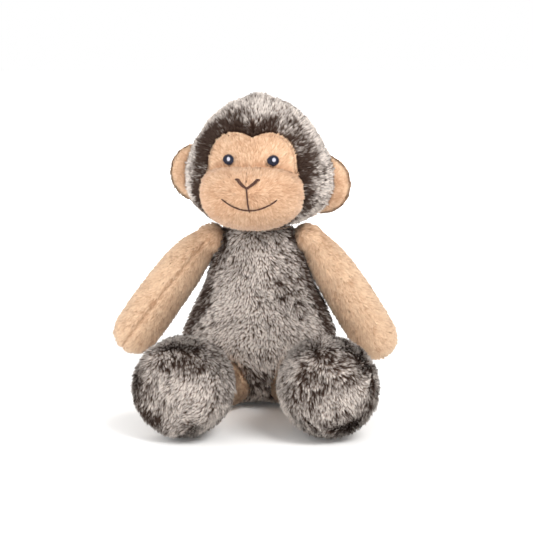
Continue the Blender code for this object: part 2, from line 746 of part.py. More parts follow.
def make_leg(side):
    form = leg_form(side)
    inner = inset(form, SHORT_WALL)
    fill = inset(form, SHORT_WALL + FIT_GAP)
    mouth = block("mouth", (-0.007, -0.007, 0), (0.007, 0.007, 0.05))
    wall = cut(form, inner, mouth)
    pose = joint_empty(f"{side}_hip_splay", mirrored(HIP, side), leg_turn(side))
    finish(wall, f"{side}_leg_panel", "tan_plush", TAN_COLOUR, pose)
    finish(fill, f"{side}_leg_stuffing", "stuffing", FILL_COLOUR, pose)
    discard(inner, mouth)
    stitching = thread_ring("hip", HIP_BALL, leg_turn(side), math.radians(-36))
    lifted = joint_empty(f"{side}_hip_lift", mirrored(HIP, side))
    finish(stitching, f"{side}_hip_stitching", "tan_thread", TAN_COLOUR, lifted)


def make_foot(side):
    """The foot, built about its ankle. Its wall leaves room for the leg's round end as it flexes."""
    form = foot_form()
    ankle = ANKLE[side]
    to_foot = (Matrix.Translation(ankle) @ foot_turn(side)).inverted()
    floor = block("floor", (-FAR, -FAR, -FAR), (FAR, FAR, 0))
    floor.data.transform(to_foot)
    cut(form, floor)
    inner = inset(form, FUR_WALL)
    fill = inset(form, FUR_WALL + FIT_GAP)
    wall = cut(form, inner)
    leg_in_foot = (foot_turn(side).inverted() @ leg_turn(side)) @ Matrix.Rotation(math.pi, 4, "X")
    turns = [Matrix.Rotation(math.radians(angle), 4, "X") for angle in (*ANKLE_FLEX, 0)]
    room = sweep("ankle_room", ANKLE_BALL + SWEEP_MARGIN, 0.05, leg_in_foot, turns, Vector())
    socket = socket_for("ankle_socket", Vector(), ANKLE_BALL + SOCKET_STEP)
    plane = FOOT_CENTRE + Vector((0, -SOLE_PLANE, 0))
    ahead = half_space("ahead", plane - Vector((0, SEAM_GAP / 2, 0)), (0, -1, 0))
    behind = half_space("behind", plane + Vector((0, SEAM_GAP / 2, 0)), (0, 1, 0))
    pose = joint_empty(f"{side}_ankle_flex", ankle, foot_turn(side))
    sole = keep(duplicate(wall, "sole"), ahead)
    finish(sole, f"{side}_foot_sole_panel", "frosted_plush", FUR_COLOUR, pose)
    upper = cut(keep(duplicate(wall, "upper"), behind), room, socket)
    finish(upper, f"{side}_foot_upper_panel", "frosted_plush", FUR_COLOUR, pose)
    stuffing = cut(fill, room, socket)
    finish(stuffing, f"{side}_foot_stuffing", "stuffing", FILL_COLOUR, pose)
    discard(floor, inner, wall, room, socket, ahead, behind)


def main():
    clear_scene()
    make_torso()
    make_bean_bag()
    make_neck_threads()
    head_pose = joint_empty("neck_tilt", NECK_PIVOT, Matrix.Rotation(HEAD_YAW, 4, "Z"))
    make_head(head_pose)
    make_embroidery(head_pose)
    for side in ("left", "right"):
        make_ear(side, head_pose)
        make_arm(side)
        make_leg(side)
        make_foot(side)


main()
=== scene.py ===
"""The looks of the sitting stuffed monkey: plush panels with real pile, embroidery, stitches and stage.

Every soft part of the frame becomes one smooth form, which cloth pressure swells between its seams.
The form is then parted into its sewn panels. Each panel is a closed shell whose outer side is drawn out
into pile: one tapered strand on every small face, combed, gathered into tufts and parted at the seams.
The stuffing is the same form once more, lumpy and a little smaller. Eyes, nose and mouth are laid in
separate threads. Every other CAD part keeps its own mesh and gets its material.
"""

import itertools
import json
import math

import bmesh
import bpy
import numpy as np
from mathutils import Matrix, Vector
from mathutils.bvhtree import BVHTree


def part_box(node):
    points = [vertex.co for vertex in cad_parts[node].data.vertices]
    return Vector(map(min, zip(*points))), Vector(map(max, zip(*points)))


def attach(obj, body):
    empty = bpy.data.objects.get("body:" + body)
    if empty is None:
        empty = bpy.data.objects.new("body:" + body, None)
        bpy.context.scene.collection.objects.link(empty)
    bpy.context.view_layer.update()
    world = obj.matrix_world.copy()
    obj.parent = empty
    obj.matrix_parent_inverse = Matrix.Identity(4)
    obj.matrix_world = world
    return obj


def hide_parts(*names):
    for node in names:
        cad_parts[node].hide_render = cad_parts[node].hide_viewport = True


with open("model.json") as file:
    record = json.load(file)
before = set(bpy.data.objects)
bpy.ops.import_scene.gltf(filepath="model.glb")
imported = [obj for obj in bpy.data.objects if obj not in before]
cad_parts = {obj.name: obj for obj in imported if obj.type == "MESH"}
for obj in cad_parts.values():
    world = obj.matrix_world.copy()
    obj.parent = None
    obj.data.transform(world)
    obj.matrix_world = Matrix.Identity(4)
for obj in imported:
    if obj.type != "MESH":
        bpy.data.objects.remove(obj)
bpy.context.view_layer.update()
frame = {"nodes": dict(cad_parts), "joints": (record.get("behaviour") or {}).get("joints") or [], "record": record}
NODES = frame["nodes"]
JOINTS = {joint["name"]: joint for joint in frame["joints"]}
BODY_OF = {
    node: body for body, nodes in frame["record"]["behaviour"]["bodies"].items() for node in nodes
}
SIDES = ("left", "right")
UV_NAME = "OFBake"
MM = 0.001
FLOOR_CLEARANCE = 0.5 * MM

# Styles of pile, with lengths in metres
#   voxel: the grain of the form that the panels are cut from
#   inset, seam_depth: how deep the cloth lies under the form, and how much deeper at a seam
#   length, lean, spread: of a strand, with lean the share that lies along the cloth
#   tuft, gather: the size of a tuft, and how far the tips of its strands come together
#   parting: how far from a seam the pile is combed away from it
#   tuft_shade, strand_shade: how much the shade varies. backing_shade: the shade of the cloth
FROSTED = {
    "slot": "frosted_plush",
    "voxel": 2.2 * MM,
    "inset": 3.8 * MM,
    "length": 7.0 * MM,
    "lean": 0.78,
    "spread": 0.20,
    "tuft": 1.9 * MM,
    "gather": 0.50,
    "seam_depth": 0.8 * MM,
    "parting": 6.0 * MM,
    "tuft_shade": 0.75,
    "strand_shade": 0.40,
    "backing_shade": 0.1,
}
TORSO = {**FROSTED, "voxel": 2.4 * MM}
SHORT = {
    "slot": "tan_plush",
    "voxel": 2.2 * MM,
    "inset": 2.0 * MM,
    "length": 4.5 * MM,
    "lean": 0.74,
    "spread": 0.20,
    "tuft": 1.9 * MM,
    "gather": 0.42,
    "seam_depth": 1.2 * MM,
    "parting": 2.5 * MM,
    "tuft_shade": 0.42,
    "strand_shade": 0.44,
    "backing_shade": 0.8,
}
EAR = {
    **SHORT,
    "voxel": 1.8 * MM,
    "inset": 0.7 * MM,
    "length": 2.8 * MM,
    "spread": 0.13,
    "gather": 0.30,
    "seam_depth": 0.0,
    "tuft_shade": 0.30,
}
# The cloth's thickness. The stuffing's gap and lumps, and how far it is grown to meet the panels
SHELL_WALL = 0.7 * MM
FILL_GAP, FILL_LUMP, FILL_GROWTH_IN_MM = 0.6 * MM, 0.7 * MM, 0.9

# How close a neighbour makes pile shorter, and how close a part makes a form swell to meet it
NEIGHBOUR_REACH, MEETING_REACH = 4.0 * MM, 9.0 * MM
ROOT_SWELL, SEAM_WIDTH = 3.4 * MM, 2.2 * MM

# How far points wander along the cloth, as a share of a voxel, and the grid that decides it
JITTER, JITTER_GRID = 0.28, 0.05 * MM

# Strands: least length and how much it varies, from strand to strand and from tuft to tuft
STRAND_LENGTHS, TUFT_LENGTHS = (0.78, 0.4), (0.85, 0.3)
TUFT_STRAY, STRAND_STRAY, LEAST_RISE = 1.4, 1.6, 0.25
HIDDEN_LENGTH = 0.08

# Where a strand lies in its texture space: shade across, root to tip upwards
UV_ROOT, UV_TIP, UV_WIDTH = 0.02, 0.98, 0.02
SHADE_LIMITS = 0.01, 0.97

# Cloth simulation
PRESSURE, CLOTH_FRAMES, SWELL_CAP = 4.0, 20, 2.2 * MM
SEAM_PIN = 2.6 * MM

# Smoothing: how far each half round goes, and the rounds that even out the CAD facets
SHRINK, SWELL = 0.5, 0.512
BIG_ROUNDS, LIMB_ROUNDS, HEAD_ROUNDS, EAR_ROUNDS = 26, 14, 12, 4

PALE_TIP, MID_FUR, DARK_ROOT = (0.82, 0.735, 0.67), (0.33, 0.245, 0.20), (0.026, 0.012, 0.007)
TAN_TIP, TAN_MID, TAN_ROOT = (0.97, 0.715, 0.495), (0.90, 0.62, 0.41), (0.82, 0.53, 0.34)
RUSSET, RUSSET_ROOT = (0.67, 0.40, 0.245), (0.48, 0.25, 0.14)
DARK_TIP = (0.050, 0.028, 0.020)


# Numbers without a generator: the same point always gives the same value

CELL_PRIMES, SEED_PRIME = (73856093, 19349663, 83492791), 2654435761
STIR_PRIMES, STIR_MASK = (1274126177, 668265263), 0x7FFFFFFFFFFF


def scatter(cells, seed):
    """A value from 0 to 1 for each row of whole numbers."""
    cells = cells.astype(np.int64)
    x, y, z = (cells * CELL_PRIMES).T
    mixed = x ^ y ^ z ^ seed * SEED_PRIME
    mixed = (mixed ^ (mixed >> 13)) * STIR_PRIMES[0] & STIR_MASK
    mixed = (mixed ^ (mixed >> 16)) * STIR_PRIMES[1] & STIR_MASK
    return ((mixed >> 7) & 0xFFFFFF) / float(0x1000000)


def scatter3(cells, seed):
    return np.stack([scatter(cells, seed + k) for k in range(3)], 1)


def per_item(count, seed):
    """One value from 0 to 1 for each of count items."""
    index = np.arange(count)
    return scatter(np.stack([index, index * 0 + 7, index * 0 + 13], 1), seed)


def noise(points, size, seed):
    """Smooth noise from 0 to 1 with features of about this size."""
    scaled = points / size
    low = np.floor(scaled)
    part = scaled - low
    part = part * part * (3 - 2 * part)
    total = np.zeros(len(points))
    for corner in itertools.product((0, 1), repeat=3):
        weight = np.prod(np.where(corner, part, 1 - part), axis=1)
        total += weight * scatter(low + corner, seed)
    return total


def tufts(points, size, seed):
    """The number of the tuft that each point belongs to."""
    base = np.floor(points / size)
    nearest = np.full(len(points), np.inf)
    owner = np.zeros(len(points), np.int64)
    for offset in itertools.product((-1, 0, 1), repeat=3):
        cell = base + offset
        centre = (cell + scatter3(cell, seed)) * size
        far = ((points - centre) ** 2).sum(1)
        closer = far < nearest
        nearest[closer] = far[closer]
        label = (cell[:, 0] * 4099 + cell[:, 1]) * 4099 + cell[:, 2]
        owner[closer] = label[closer]
    return np.unique(owner, return_inverse=True)[1]


# Meshes as arrays


def unit(rows):
    return rows / np.maximum(np.linalg.norm(rows, axis=1, keepdims=True), 1e-12)


def mesh_points(mesh):
    flat = np.zeros(len(mesh.vertices) * 3)
    mesh.vertices.foreach_get("co", flat)
    return flat.reshape(-1, 3)


def mesh_quads(mesh):
    flat = np.zeros(len(mesh.loops), np.int64)
    mesh.loops.foreach_get("vertex_index", flat)
    return flat.reshape(-1, 4)


def edges_of(faces):
    sides = np.concatenate([faces[:, [i, (i + 1) % faces.shape[1]]] for i in range(faces.shape[1])])
    return np.unique(np.sort(sides, 1), axis=0)


def summed(values, index, count):
    return np.stack([np.bincount(index, values[:, k], count) for k in range(values.shape[1])], 1)


def face_normals(points, faces):
    a, b, c = (points[faces[:, k]] for k in range(3))
    return np.cross(b - a, c - a)


def point_normals(points, faces):
    total = np.zeros((len(points), 3))
    for k in range(1, faces.shape[1] - 1):
        flat = face_normals(points, faces[:, [0, k, k + 1]])
        for corner in (0, k, k + 1):
            total += summed(flat, faces[:, corner], len(points))
    return unit(total)


def neighbour_mean(points, edges, degree):
    total = summed(points[edges[:, 1]], edges[:, 0], len(points))
    total += summed(points[edges[:, 0]], edges[:, 1], len(points))
    return total / degree[:, None]


def smoothed(points, edges, rounds):
    """Evens out short bumps. Each round shrinks and then swells, so the form keeps its size."""
    degree = np.bincount(edges.ravel(), minlength=len(points)).astype(float)
    for _ in range(rounds):
        for weight in (SHRINK, -SWELL):
            points = points + weight * (neighbour_mean(points, edges, degree) - points)
    return points


def largest_body(points, faces):
    label = np.arange(len(points))
    edges = edges_of(faces)
    while True:
        low = np.minimum(label[edges[:, 0]], label[edges[:, 1]])
        fresh = label.copy()
        np.minimum.at(fresh, edges[:, 0], low)
        np.minimum.at(fresh, edges[:, 1], low)
        fresh = fresh[fresh]
        if (fresh == label).all():
            break
        label = fresh
    kept = label == np.bincount(label).argmax()
    number = np.cumsum(kept) - 1
    return points[kept], number[faces[kept[faces[:, 0]]]]


def mesh_from(name, points, faces):
    mesh = bpy.data.meshes.new(name)
    corners = faces.shape[1]
    mesh.vertices.add(len(points))
    mesh.loops.add(len(faces) * corners)
    mesh.polygons.add(len(faces))
    mesh.vertices.foreach_set("co", np.asarray(points, np.float32).ravel())
    mesh.loops.foreach_set("vertex_index", np.asarray(faces, np.int32).ravel())
    mesh.polygons.foreach_set("loop_start", np.arange(0, len(faces) * corners, corners, dtype=np.int32))
    mesh.update(calc_edges=True)
    mesh.validate()
    return mesh


def linked(name, mesh):
    made = bpy.data.objects.new(name, mesh)
    bpy.context.scene.collection.objects.link(made)
    return made


def evaluated(obj):
    bpy.context.view_layer.update()
    graph = bpy.context.evaluated_depsgraph_get()
    return bpy.data.meshes.new_from_object(obj.evaluated_get(graph))


def dropped(obj):
    mesh = obj.data
    bpy.data.objects.remove(obj)
    bpy.data.meshes.remove(mesh)


# Forms


def tree_of(nodes):
    """A search tree over the CAD surfaces of these nodes."""
    points, faces = [], []
    for node in nodes:
        mesh = NODES[node].data
        start = len(points)
        points += [vertex.co.copy() for vertex in mesh.vertices]
        faces += [[start + i for i in polygon.vertices] for polygon in mesh.polygons]
    return BVHTree.FromPolygons(points, faces)


def joined_cad(panels, fill):
    """One mesh of a part's panels and its stuffing. The stuffing is grown until it meets the panels."""
    bm = bmesh.new()
    for node in [*panels, fill]:
        part = bmesh.new()
        part.from_mesh(NODES[node].data)
        bmesh.ops.remove_doubles(part, verts=part.verts[:], dist=1e-6)
        if node == fill:
            part.normal_update()
            for vertex, normal in [(v, v.normal.copy()) for v in part.verts]:
                vertex.co += normal * FILL_GROWTH_IN_MM * MM
        mesh = bpy.data.meshes.new("part")
        part.to_mesh(mesh)
        part.free()
        bm.from_mesh(mesh)
        bpy.data.meshes.remove(mesh)
    whole = bpy.data.meshes.new("whole")
    bm.to_mesh(whole)
    bm.free()
    return linked("whole", whole)


def seam_distance(points, trees):
    """For each point: its own panel, how far the next panel is, and the way that leads from it."""
    own = np.zeros(len(points), int)
    far = np.full(len(points), 1.0)
    away = np.zeros((len(points), 3))
    for i, point in enumerate(points):
        hits = sorted((tree.find_nearest(point)[3], k) for k, tree in enumerate(trees))
        own[i] = hits[0][1]
        if len(hits) > 1:
            place = trees[hits[1][1]].find_nearest(point)[0]
            far[i] = hits[1][0]
            away[i] = np.array(point) - np.array(place)
    return own, far, unit(away)


def cloth_on(obj):
    """Pressure cloth, held at the seams, with no gravity and no collisions."""
    cloth = obj.modifiers.new("cloth", "CLOTH")
    settings = cloth.settings
    settings.quality = 5
    settings.mass = 0.3
    settings.tension_stiffness = settings.compression_stiffness = 15
    settings.bending_stiffness = 0.5
    settings.use_pressure = True
    settings.uniform_pressure_force = PRESSURE
    settings.vertex_group_mass = "seams"
    settings.effector_weights.gravity = 0
    cloth.collision_settings.use_collision = False
    cloth.collision_settings.use_self_collision = False
    cloth.point_cache.frame_start, cloth.point_cache.frame_end = 1, CLOTH_FRAMES


def pressed(points, faces, far):
    """Swells a form with cloth pressure, held at its seams, and caps how far a point moves."""
    obj = linked("cloth", mesh_from("cloth", points, faces))
    group = obj.vertex_groups.new(name="seams")
    for i in np.nonzero(far < SEAM_PIN)[0]:
        group.add([int(i)], 1.0, "REPLACE")
    cloth_on(obj)
    scene = bpy.context.scene
    for step in range(1, CLOTH_FRAMES + 1):
        scene.frame_set(step)
    mesh = evaluated(obj)
    moved = mesh_points(mesh) - points
    bpy.data.meshes.remove(mesh)
    dropped(obj)
    scene.frame_set(1)
    reach = np.linalg.norm(moved, axis=1, keepdims=True)
    moved *= np.minimum(1.0, SWELL_CAP / np.maximum(reach, 1e-9))
    return points + moved


def subdivided(points, faces):
    obj = linked("fine", mesh_from("fine", points, faces))
    modifier = obj.modifiers.new("finer", "SUBSURF")
    modifier.levels = modifier.render_levels = 1
    mesh = evaluated(obj)
    result = mesh_points(mesh), mesh_quads(mesh)
    bpy.data.meshes.remove(mesh)
    dropped(obj)
    return result


def swollen_root(points, centre, reach, inward):
    """Widens the ball that a limb turns on, most of all towards the body, to meet the body's pile."""
    offset = points - centre
    far = np.linalg.norm(offset, axis=1, keepdims=True)
    facing = np.clip(unit(offset) @ np.asarray(inward), 0, 1)[:, None]
    wide = np.maximum(far, reach + ROOT_SWELL * facing)
    return centre + offset / np.maximum(far, 1e-6) * wide


def soft_form(panels, fill, style, rounds, root):
    """The smooth, swollen outer surface of a part, and its search trees, one for each panel."""
    whole = joined_cad(panels, fill)
    remesh = whole.modifiers.new("remesh", "REMESH")
    remesh.mode = "VOXEL"
    remesh.voxel_size = style["voxel"]
    mesh = evaluated(whole)
    points, faces = largest_body(mesh_points(mesh), mesh_quads(mesh))
    bpy.data.meshes.remove(mesh)
    dropped(whole)
    points = smoothed(points, edges_of(faces), rounds)
    if root:
        points = smoothed(swollen_root(points, *root), edges_of(faces), 6)
    trees = [tree_of([panel]) for panel in panels]
    points = pressed(points, faces, seam_distance(points, trees)[1])
    points = smoothed(points, edges_of(faces), 3)
    return *subdivided(points, faces), trees


# Pile


def split_quads(quads):
    """Two triangles for each four-sided face, with the diagonal either way."""
    flip = per_item(len(quads), 5) < 0.5
    first = np.where(flip[:, None], quads[:, [0, 1, 2]], quads[:, [0, 1, 3]])
    second = np.where(flip[:, None], quads[:, [0, 2, 3]], quads[:, [1, 2, 3]])
    return np.concatenate([first, second])


def room_near(points, nodes, reach):
    """From 0 at the CAD surfaces of these nodes to 1 at this distance from them and beyond."""
    room = np.ones(len(points))
    if not nodes:
        return room
    tree = tree_of(nodes)
    for i, point in enumerate(points):
        hit = tree.find_nearest(point, reach)
        if hit[3] is not None:
            room[i] = hit[3] / reach
    return room


def shell(points, faces):
    """Closes an open sheet with an inner side and a rim. Returns all points, and the faces added."""
    normals = point_normals(points, faces)
    inner = points - normals * SHELL_WALL
    count = len(points)
    sides = np.concatenate([faces[:, [0, 1]], faces[:, [1, 2]], faces[:, [2, 0]]])
    key = np.sort(sides, 1)
    _, first, times = np.unique(key, axis=0, return_index=True, return_counts=True)
    rim = sides[first[times == 1]]
    a, b = rim[:, 0], rim[:, 1]
    bands = [np.stack([b, a, a + count], 1), np.stack([b, a + count, b + count], 1)]
    added = np.concatenate([faces[:, ::-1] + count, *bands])
    return np.concatenate([points, inner]), added, normals


def placed(name, mesh, node, slot):
    """Puts a piece in the place of a CAD node: on its body, with the material of a slot."""
    obj = linked(name, mesh)
    mesh.materials.append(MATERIALS[slot])
    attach(obj, BODY_OF[node])
    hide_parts(node)


def combed_ways(nap, upright, seam, away, looks):
    """The way the pile is combed: with the nap, but away from a seam close to it."""
    parting = np.exp(-((seam / looks["parting"]) ** 2)) * looks["part_strength"]
    combed = nap * (1 - parting)[:, None] + unit(away) * parting[:, None]
    combed -= upright * (combed * upright).sum(1, keepdims=True)
    return unit(combed)


def strand_ways(combed, upright, tuft, single, style, looks):
    """The way each strand points. Whole tufts stray, and single strands within them."""
    numbers = np.arange(tuft.max() + 1)
    stray = (scatter3(np.stack([numbers] * 3, 1), looks["seed"] + 11) - 0.5)[tuft]
    lean = style["lean"] * looks["lean"]
    way = combed * lean[:, None] + upright * np.sqrt(1 - lean**2)[:, None]
    way = unit(way + stray * style["spread"] * TUFT_STRAY + single * style["spread"] * STRAND_STRAY)
    way += upright * np.maximum(0, LEAST_RISE - (way * upright).sum(1))[:, None]
    return unit(way)


def strand_tips(centres, way, tuft, single, style, looks):
    """Where each strand ends, with the tips of a tuft gathered and none below the floor."""
    count = tuft.max() + 1
    least, more = STRAND_LENGTHS
    length = style["length"] * looks["length"] * (least + more * per_item(len(way), looks["seed"] + 31))
    least, more = TUFT_LENGTHS
    length *= (least + more * per_item(count, looks["seed"] + 37))[tuft]
    tips = centres + way * length[:, None]
    members = np.bincount(tuft).astype(float)
    middle = summed(tips, tuft, count) / members[:, None]
    tips += (middle[tuft] - tips) * style["gather"]
    tips[:, 2] = np.maximum(tips[:, 2], FLOOR_CLEARANCE * (1 + single[:, 0]))
    return tips


def pile_uvs(tuft, backing_count, style, looks):
    """The texture corners: three triangles a strand, all on one narrow slip, then the plain backing."""
    count = tuft.max() + 1
    shade = looks["shade"] + style["tuft_shade"] * (per_item(count, looks["seed"] + 41)[tuft] - 0.5)
    shade += style["strand_shade"] * (per_item(len(tuft), looks["seed"] + 43) - 0.5)
    shade = np.clip(shade, *SHADE_LIMITS)
    left = np.stack([shade, np.full(len(shade), UV_ROOT)], 1)
    right = left + (UV_WIDTH, 0.0)
    top = np.stack([shade + UV_WIDTH / 2, np.full(len(shade), UV_TIP)], 1)
    one = np.stack([left, right, top], 1)
    strands = np.repeat(one[:, None], 3, axis=1).reshape(-1, 2)
    under = np.array([[0.0, UV_ROOT], [UV_WIDTH, UV_ROOT], [UV_WIDTH / 2, 0.05]])
    under += (style["backing_shade"], 0.0)
    return np.concatenate([strands, np.tile(under, (backing_count, 1))])


def piled(name, node, points, faces, style, nap, far, away, looks):
    """A panel: a closed shell, with a strand drawn out of each outer face.

    nap is the way the pile is combed at each face, far and away give the nearest seam of each point, and
    looks the shade, length and lean of each strand.
    """
    body_points, backing, normals = shell(points, faces)
    centres = points[faces].mean(1)
    upright = unit(normals[faces].mean(1))
    combed = combed_ways(nap, upright, far[faces].mean(1), away[faces].mean(1), looks)
    tuft = tufts(centres, style["tuft"], looks["seed"])
    single = scatter3(np.stack([np.arange(len(faces))] * 3, 1), looks["seed"] + 23) - 0.5
    way = strand_ways(combed, upright, tuft, single, style, looks)
    tips = strand_tips(centres, way, tuft, single, style, looks)

    tip_index = len(body_points) + np.arange(len(faces))
    a, b, c = faces.T
    strands = np.stack([a, b, tip_index, b, c, tip_index, c, a, tip_index], 1).reshape(-1, 3)
    mesh = mesh_from(name, np.concatenate([body_points, tips]), np.concatenate([strands, backing]))
    layer = mesh.uv_layers.new(name=UV_NAME)
    uvs = pile_uvs(tuft, len(backing), style, looks)
    layer.data.foreach_set("uv", uvs.astype(np.float32).ravel())

    tip_normals = unit(upright + 0.25 * (way - upright) + 0.5 * single)
    all_normals = np.concatenate([normals, -normals, tip_normals])
    mesh.shade_smooth()
    mesh.normals_split_custom_set_from_vertices(all_normals.astype(np.float32))
    placed(name, mesh, node, style["slot"])


def filling(node, points, quads, outer, depth):
    """The stuffing: the same form, a little smaller than the inside of the cloth and lumpy."""
    lumps = FILL_LUMP * (noise(points, 11 * MM, 91) - 0.5)
    inner = points - outer * (depth + lumps)[:, None]
    inner[:, 2] = np.maximum(inner[:, 2], 2 * MM)
    mesh = mesh_from(f"{node}_fibre", inner, quads)
    mesh.shade_smooth()
    placed(f"{node}_fibre", mesh, node, "stuffing")


def cut_panel(panel, style, mine, form, nap, looks):
    """One panel of a form: its faces, sunk under the form's surface, deepest at the seams, and piled."""
    used, number = np.unique(mine, return_inverse=True)
    number = number.reshape(mine.shape)
    place, normal, seam, away, room = (rows[used] for rows in form)
    jitter = scatter3(np.round(place / JITTER_GRID), 3) - 0.5
    jitter -= normal * (jitter * normal).sum(1, keepdims=True)
    place = place + jitter * style["voxel"] * JITTER * np.clip(seam / (2 * MM), 0, 1)[:, None]
    depth = style["inset"] + style["seam_depth"] * np.exp(-((seam / SEAM_WIDTH) ** 2))
    place = place - normal * depth[:, None]
    place[:, 2] = np.maximum(place[:, 2], FLOOR_CLEARANCE + 0.2 * MM)
    centres = place[number].mean(1)
    wanted = looks(panel, centres, seam[number].mean(1), room[number].mean(1))
    wanted.setdefault("parting", style["parting"])
    piled(f"{panel}_plush", panel, place, number, style, nap(centres), seam, away, wanted)


def plush(
    panels, fill, styles, nap, looks, rounds=BIG_ROUNDS, root=None, neighbours=(), meets=(), swell=0
):
    """Builds the furred panels and the stuffing of one part. styles holds one style for each panel.

    root is the ball that the part turns on: its centre, its size and the way inward. Pile is shorter
    close to the neighbours. The form swells by up to swell towards the nodes that it meets.
    """
    points, quads, trees = soft_form(panels, fill, styles[0], rounds, root)
    own, far, away = seam_distance(points, trees)
    faces = split_quads(quads)
    owner = own[faces]
    panel_of = np.where(owner[:, 1] == owner[:, 2], owner[:, 1], owner[:, 0])
    outer = point_normals(points, faces)
    room = room_near(points, neighbours, NEIGHBOUR_REACH)
    close = 1 - room_near(points, meets, MEETING_REACH)
    points = points + outer * (close * swell)[:, None]
    deepest = max(style["inset"] + style["seam_depth"] for style in styles)
    filling(fill, points, quads, outer, deepest + SHELL_WALL + FILL_GAP)
    form = points, outer, far, away, room
    for k, (panel, style) in enumerate(zip(panels, styles)):
        cut_panel(panel, style, faces[panel_of == k], form, nap, looks)


# Materials

THREAD_GRAIN, PILE_GRAIN = 900, 60
SHADE_GRAIN = 0.16


def node_material(name):
    made = bpy.data.materials.new(name)
    made.use_nodes = True
    tree = made.node_tree
    return made, tree, tree.nodes["Principled BSDF"]


def math_node(tree, operation, first, second, third=None):
    """One step of arithmetic, where each input is either a socket or a number."""
    node = tree.nodes.new("ShaderNodeMath")
    node.operation = operation
    for place, value in zip(node.inputs, (first, second, third)):
        if isinstance(value, bpy.types.NodeSocket):
            tree.links.new(value, place)
        elif value is not None:
            place.default_value = value
    return node


def grain_node(tree, vector, scale, detail=None):
    grain = tree.nodes.new("ShaderNodeTexNoise")
    grain.inputs["Scale"].default_value = scale
    if detail is not None:
        grain.inputs["Detail"].default_value = detail
    tree.links.new(vector, grain.inputs["Vector"])
    return grain.outputs["Fac"]


def ramp_node(tree, stops, factor):
    node = tree.nodes.new("ShaderNodeValToRGB")
    ramp = node.color_ramp
    while len(ramp.elements) < len(stops):
        ramp.elements.new(0.5)
    for element, (place, colour) in zip(ramp.elements, stops):
        element.position = place
        element.color = (*colour, 1)
    tree.links.new(factor, node.inputs["Fac"])
    return node.outputs["Color"]


def mixed(tree, factor, first, second):
    node = tree.nodes.new("ShaderNodeMix")
    node.data_type = "RGBA"
    tree.links.new(factor, node.inputs["Factor"])
    tree.links.new(first, node.inputs["A"])
    tree.links.new(second, node.inputs["B"])
    return node.outputs["Result"]


def tinted(colour, share, other=(0, 0, 0)):
    """A colour taken some way towards another, which is black unless given."""
    return tuple(a * (1 - share) + b * share for a, b in zip(colour, other))


def pile_material(name, dark_stops, pale_stops, sheen):
    """Colour along each strand, from root to tip, between a dark set and a pale set by its shade."""
    made, tree, shader = node_material(name)
    place = tree.nodes.new("ShaderNodeUVMap")
    place.uv_map = UV_NAME
    parts = tree.nodes.new("ShaderNodeSeparateXYZ")
    tree.links.new(place.outputs["UV"], parts.inputs[0])
    dark = ramp_node(tree, dark_stops, parts.outputs["Y"])
    pale = ramp_node(tree, pale_stops, parts.outputs["Y"])
    grain = grain_node(tree, place.outputs["UV"], PILE_GRAIN)
    vary = math_node(tree, "MULTIPLY_ADD", grain, SHADE_GRAIN, parts.outputs["X"])
    shade = math_node(tree, "SUBTRACT", vary.outputs[0], SHADE_GRAIN / 2)
    shade.use_clamp = True
    tree.links.new(mixed(tree, shade.outputs[0], dark, pale), shader.inputs["Base Color"])
    shader.inputs["Roughness"].default_value = 0.85
    shader.inputs["Specular IOR Level"].default_value = 0.06
    shader.inputs["Sheen Weight"].default_value = sheen
    return made


def thread_material(name, colour, roughness):
    """Thread: a fine grain of darker and paler fibres, which also roughens it."""
    made, tree, shader = node_material(name)
    where = tree.nodes.new("ShaderNodeTexCoord")
    grain = grain_node(tree, where.outputs["Object"], THREAD_GRAIN, 3)
    stops = [(0.25, tinted(colour, 0.35)), (0.8, tinted(colour, 0.015, (1, 1, 1)))]
    tree.links.new(ramp_node(tree, stops, grain), shader.inputs["Base Color"])
    bump = tree.nodes.new("ShaderNodeBump")
    bump.inputs["Strength"].default_value = 0.25
    bump.inputs["Distance"].default_value = 0.1 * MM
    tree.links.new(grain, bump.inputs["Height"])
    tree.links.new(bump.outputs["Normal"], shader.inputs["Normal"])
    shader.inputs["Roughness"].default_value = roughness
    shader.inputs["Specular IOR Level"].default_value = 0.2
    return made


def fibre_material(name, colour, scale):
    """Loose or woven fibres that are hardly seen: a mottled colour."""
    made, tree, shader = node_material(name)
    where = tree.nodes.new("ShaderNodeTexCoord")
    grain = grain_node(tree, where.outputs["Object"], scale, 5)
    stops = [(0.3, tinted(colour, 0.3)), (0.7, colour)]
    tree.links.new(ramp_node(tree, stops, grain), shader.inputs["Base Color"])
    shader.inputs["Roughness"].default_value = 0.95
    return made


MATERIALS = {
    "frosted_plush": pile_material(
        "frosted_plush",
        [(0.0, DARK_ROOT), (0.5, tinted(DARK_ROOT, 0.3, DARK_TIP)), (0.85, DARK_TIP)],
        [(0.0, DARK_ROOT), (0.34, tinted(DARK_ROOT, 0.3, MID_FUR)), (0.50, MID_FUR), (0.68, PALE_TIP)],
        0.0,
    ),
    "tan_plush": pile_material(
        "tan_plush",
        [(0.0, RUSSET_ROOT), (0.9, RUSSET)],
        [(0.0, TAN_ROOT), (0.4, TAN_MID), (0.85, TAN_TIP)],
        0.25,
    ),
    "navy_thread": thread_material("navy_thread", (0.012, 0.014, 0.035), 0.45),
    "white_thread": thread_material("white_thread", (0.68, 0.67, 0.76), 0.5),
    "brown_thread": thread_material("brown_thread", (0.085, 0.033, 0.02), 0.5),
    "seam_thread": thread_material("seam_thread", (0.33, 0.23, 0.17), 0.7),
    "lining": fibre_material("lining", (0.70, 0.68, 0.62), 400),
    "beans": fibre_material("beans", (0.80, 0.80, 0.78), 500),
    "stuffing": fibre_material("stuffing", (0.82, 0.82, 0.80), 90),
}


# Where things are


def pivot(joint):
    return np.array(JOINTS[joint]["pos_m"])


NECK = pivot("neck_turn")
HEAD_SIDE = unit(np.array([JOINTS["neck_nod"]["axis"]], float))[0]
HEAD_FRONT = np.array([HEAD_SIDE[1], -HEAD_SIDE[0], 0.0])


